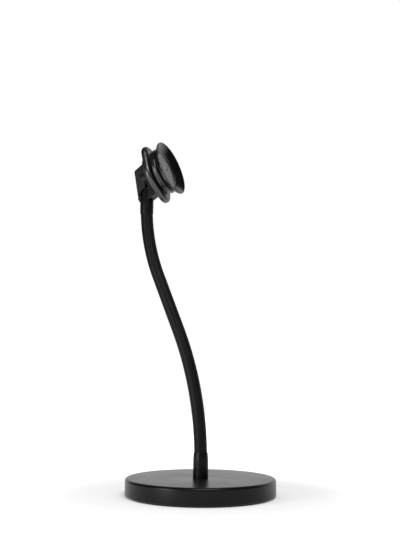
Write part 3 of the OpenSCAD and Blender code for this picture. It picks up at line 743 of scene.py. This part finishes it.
# %% [markdown]
# ## The camera
# The camera stands level with the lower neck and looks a little up, from the side of the
# stand. Its place, angles and focal length are those of the pinhole camera that was fitted to
# the photo, by the base, the edges of the neck and the rim of the cup.

# %% Directions as the camera sees them
VIEW_TURN = 23


def as_seen(right, away, up):
    """A place or a direction given as the camera sees it, in the model's own frame."""
    turn = math.radians(VIEW_TURN)
    return Vector((right * math.sin(turn) + away * math.cos(turn),
                   -right * math.cos(turn) + away * math.sin(turn), up))


print("the camera looks along", [round(v, 2) for v in as_seen(0, 1, 0)])

# %% Set the camera
SENSOR, FOCAL_PIXELS, PHOTO_HEIGHT = 36.0, 785, 556
LOOK_UP, ROLL = 7.14, 0.39
CAMERA_AT = as_seen(-0.0019, -0.800, 0.1177)
camera_data = bpy.data.cameras.new("camera")
camera_data.sensor_width, camera_data.lens = SENSOR, SENSOR * FOCAL_PIXELS / PHOTO_HEIGHT
camera = bpy.data.objects.new("camera", camera_data)
bpy.context.scene.collection.objects.link(camera)
camera.matrix_world = (Matrix.Translation(CAMERA_AT)
                       @ Matrix.Rotation(math.radians(VIEW_TURN - 90), 4, "Z")
                       @ Matrix.Rotation(math.radians(90 + LOOK_UP), 4, "X")
                       @ Matrix.Rotation(math.radians(ROLL), 4, "Z"))
bpy.context.scene.camera = camera
bpy.context.scene.view_settings.view_transform = "Standard"
print("camera at", [round(v, 4) for v in CAMERA_AT])

# %% [markdown]
# ## The light
# The stand is black, so what it mirrors matters more than how brightly it is lit. One low lamp
# stands to the front left. It lights the left side of the block and the neck, and the middle of
# the base's side. One large lamp hangs high above the camera. It lights the rim of the grip,
# the inside of the cup and the floor round the base.

# %% Lamps
def soft_lamp(name, place, target, width, height, power):
    """A rectangular lamp, in metres and watts, that points at its target."""
    data = bpy.data.lights.new(name, "AREA")
    data.shape, data.size, data.size_y, data.energy = "RECTANGLE", width, height, power
    lamp = bpy.data.objects.new(name, data)
    lamp.location = place
    lamp.rotation_euler = (target - place).to_track_quat("-Z", "Y").to_euler()
    bpy.context.scene.collection.objects.link(lamp)


LOW_ON_NECK, MIDDLE = Vector((0, 0.03, 0.08)), Vector((0, 0.03, 0.18))
soft_lamp("key_lamp", as_seen(-1.02, -0.82, 0.22), LOW_ON_NECK, 0.45, 0.3, 8.0)
soft_lamp("top_lamp", as_seen(0.16, -0.80, 1.07), MIDDLE, 0.7, 0.55, 10.5)

# %% [markdown]
# ## The room and the floor
# The camera sees plain white behind the stand from every side. What the glossy pieces mirror is
# another room: white behind the stand and nearly dark behind the camera, which keeps their near
# sides black. Matt surfaces get a third light, even from all round. The floor is pale and keeps
# the soft shadow near the base. Its own glow grows with the distance from the base, so that the
# floor fades into the backdrop.

# %% Helpers for what each kind of ray sees
def seen_by(board, wires, *kinds):
    """One where a ray of these kinds meets the surface, and nought elsewhere."""
    ray = board.new("ShaderNodeLightPath")
    total = ray.outputs["Is %s Ray" % kinds[0]]
    for kind in kinds[1:]:
        more = board.new("ShaderNodeMath")
        more.use_clamp = True
        wires.new(total, more.inputs[0])
        wires.new(ray.outputs["Is %s Ray" % kind], more.inputs[1])
        total = more.outputs["Value"]
    return total


def fade(board, wires, value, start, end, dim, full):
    """A smooth step from dim to full, while the value goes from start to end."""
    step = board.new("ShaderNodeMapRange")
    step.interpolation_type = "SMOOTHSTEP"
    for socket, number in (("From Min", start), ("From Max", end),
                           ("To Min", dim), ("To Max", full)):
        step.inputs[socket].default_value = number
    wires.new(value, step.inputs["Value"])
    return step.outputs["Result"]


def white(board, kind, strength=1.0):
    """A white Background or Emission of that strength."""
    shine = board.new("ShaderNode" + kind)
    shine.inputs["Color"].default_value = (1, 1, 1, 1)
    shine.inputs["Strength"].default_value = strength
    return shine


# %% The room
ROOM_LIGHT = 0.45
WALL_FROM, WALL_FULL, DARKEST = 0.40, 0.79, 0.02
TO_THE_WALL = as_seen(0.26, 0.96, 0.05)
world = bpy.data.worlds.new("room")
bpy.context.scene.world = world
world.use_nodes = True
sky, wires = world.node_tree.nodes, world.node_tree.links
sky.clear()
where = sky.new("ShaderNodeTexCoord")
facing = sky.new("ShaderNodeVectorMath")
facing.operation = "DOT_PRODUCT"
facing.inputs[1].default_value = TO_THE_WALL
wires.new(where.outputs["Generated"], facing.inputs[0])
backdrop = white(sky, "Background")
wall = fade(sky, wires, facing.outputs["Value"], WALL_FROM, WALL_FULL, DARKEST, 1.0)
wires.new(wall, backdrop.inputs["Strength"])
mirrored, pictured = sky.new("ShaderNodeMixShader"), sky.new("ShaderNodeMixShader")
wires.new(seen_by(sky, wires, "Glossy", "Transmission"), mirrored.inputs["Fac"])
wires.new(white(sky, "Background", ROOM_LIGHT).outputs["Background"], mirrored.inputs[1])
wires.new(backdrop.outputs["Background"], mirrored.inputs[2])
wires.new(seen_by(sky, wires, "Camera"), pictured.inputs["Fac"])
wires.new(mirrored.outputs["Shader"], pictured.inputs[1])
wires.new(white(sky, "Background").outputs["Background"], pictured.inputs[2])
out = sky.new("ShaderNodeOutputWorld")
wires.new(pictured.outputs["Shader"], out.inputs["Surface"])
print("world:", len(sky), "nodes")

# %% The floor
FLOOR_SIZE, FLOOR_GREY = 3, 0.8
GLOW_FROM, GLOW_FULL, GLOW_NEAR = 0.10, 0.32, 0.18
bpy.ops.mesh.primitive_plane_add(size=FLOOR_SIZE, location=(0, 0, 0))
floor = bpy.context.object
floor.name = "floor"
floor_paint = bpy.data.materials.new("pale_floor")
floor_paint.use_nodes = True
board, wires = floor_paint.node_tree.nodes, floor_paint.node_tree.links
board.clear()
matt = board.new("ShaderNodeBsdfDiffuse")
matt.inputs["Color"].default_value = (FLOOR_GREY, FLOOR_GREY, FLOOR_GREY, 1)
spot = board.new("ShaderNodeTexCoord")
from_base = board.new("ShaderNodeVectorMath")
from_base.operation = "LENGTH"
wires.new(spot.outputs["Object"], from_base.inputs[0])
shown = board.new("ShaderNodeMath")
shown.operation = "MULTIPLY"
wires.new(seen_by(board, wires, "Camera", "Glossy", "Transmission"), shown.inputs[0])
far_glow = fade(board, wires, from_base.outputs["Value"], GLOW_FROM, GLOW_FULL, GLOW_NEAR, 1.0)
wires.new(far_glow, shown.inputs[1])
glow = white(board, "Emission")
wires.new(shown.outputs["Value"], glow.inputs["Strength"])
both = board.new("ShaderNodeAddShader")
wires.new(matt.outputs["BSDF"], both.inputs[0])
wires.new(glow.outputs["Emission"], both.inputs[1])
out = board.new("ShaderNodeOutputMaterial")
wires.new(both.outputs["Shader"], out.inputs["Surface"])
floor.data.materials.append(floor_paint)
print("floor:", len(board), "nodes")
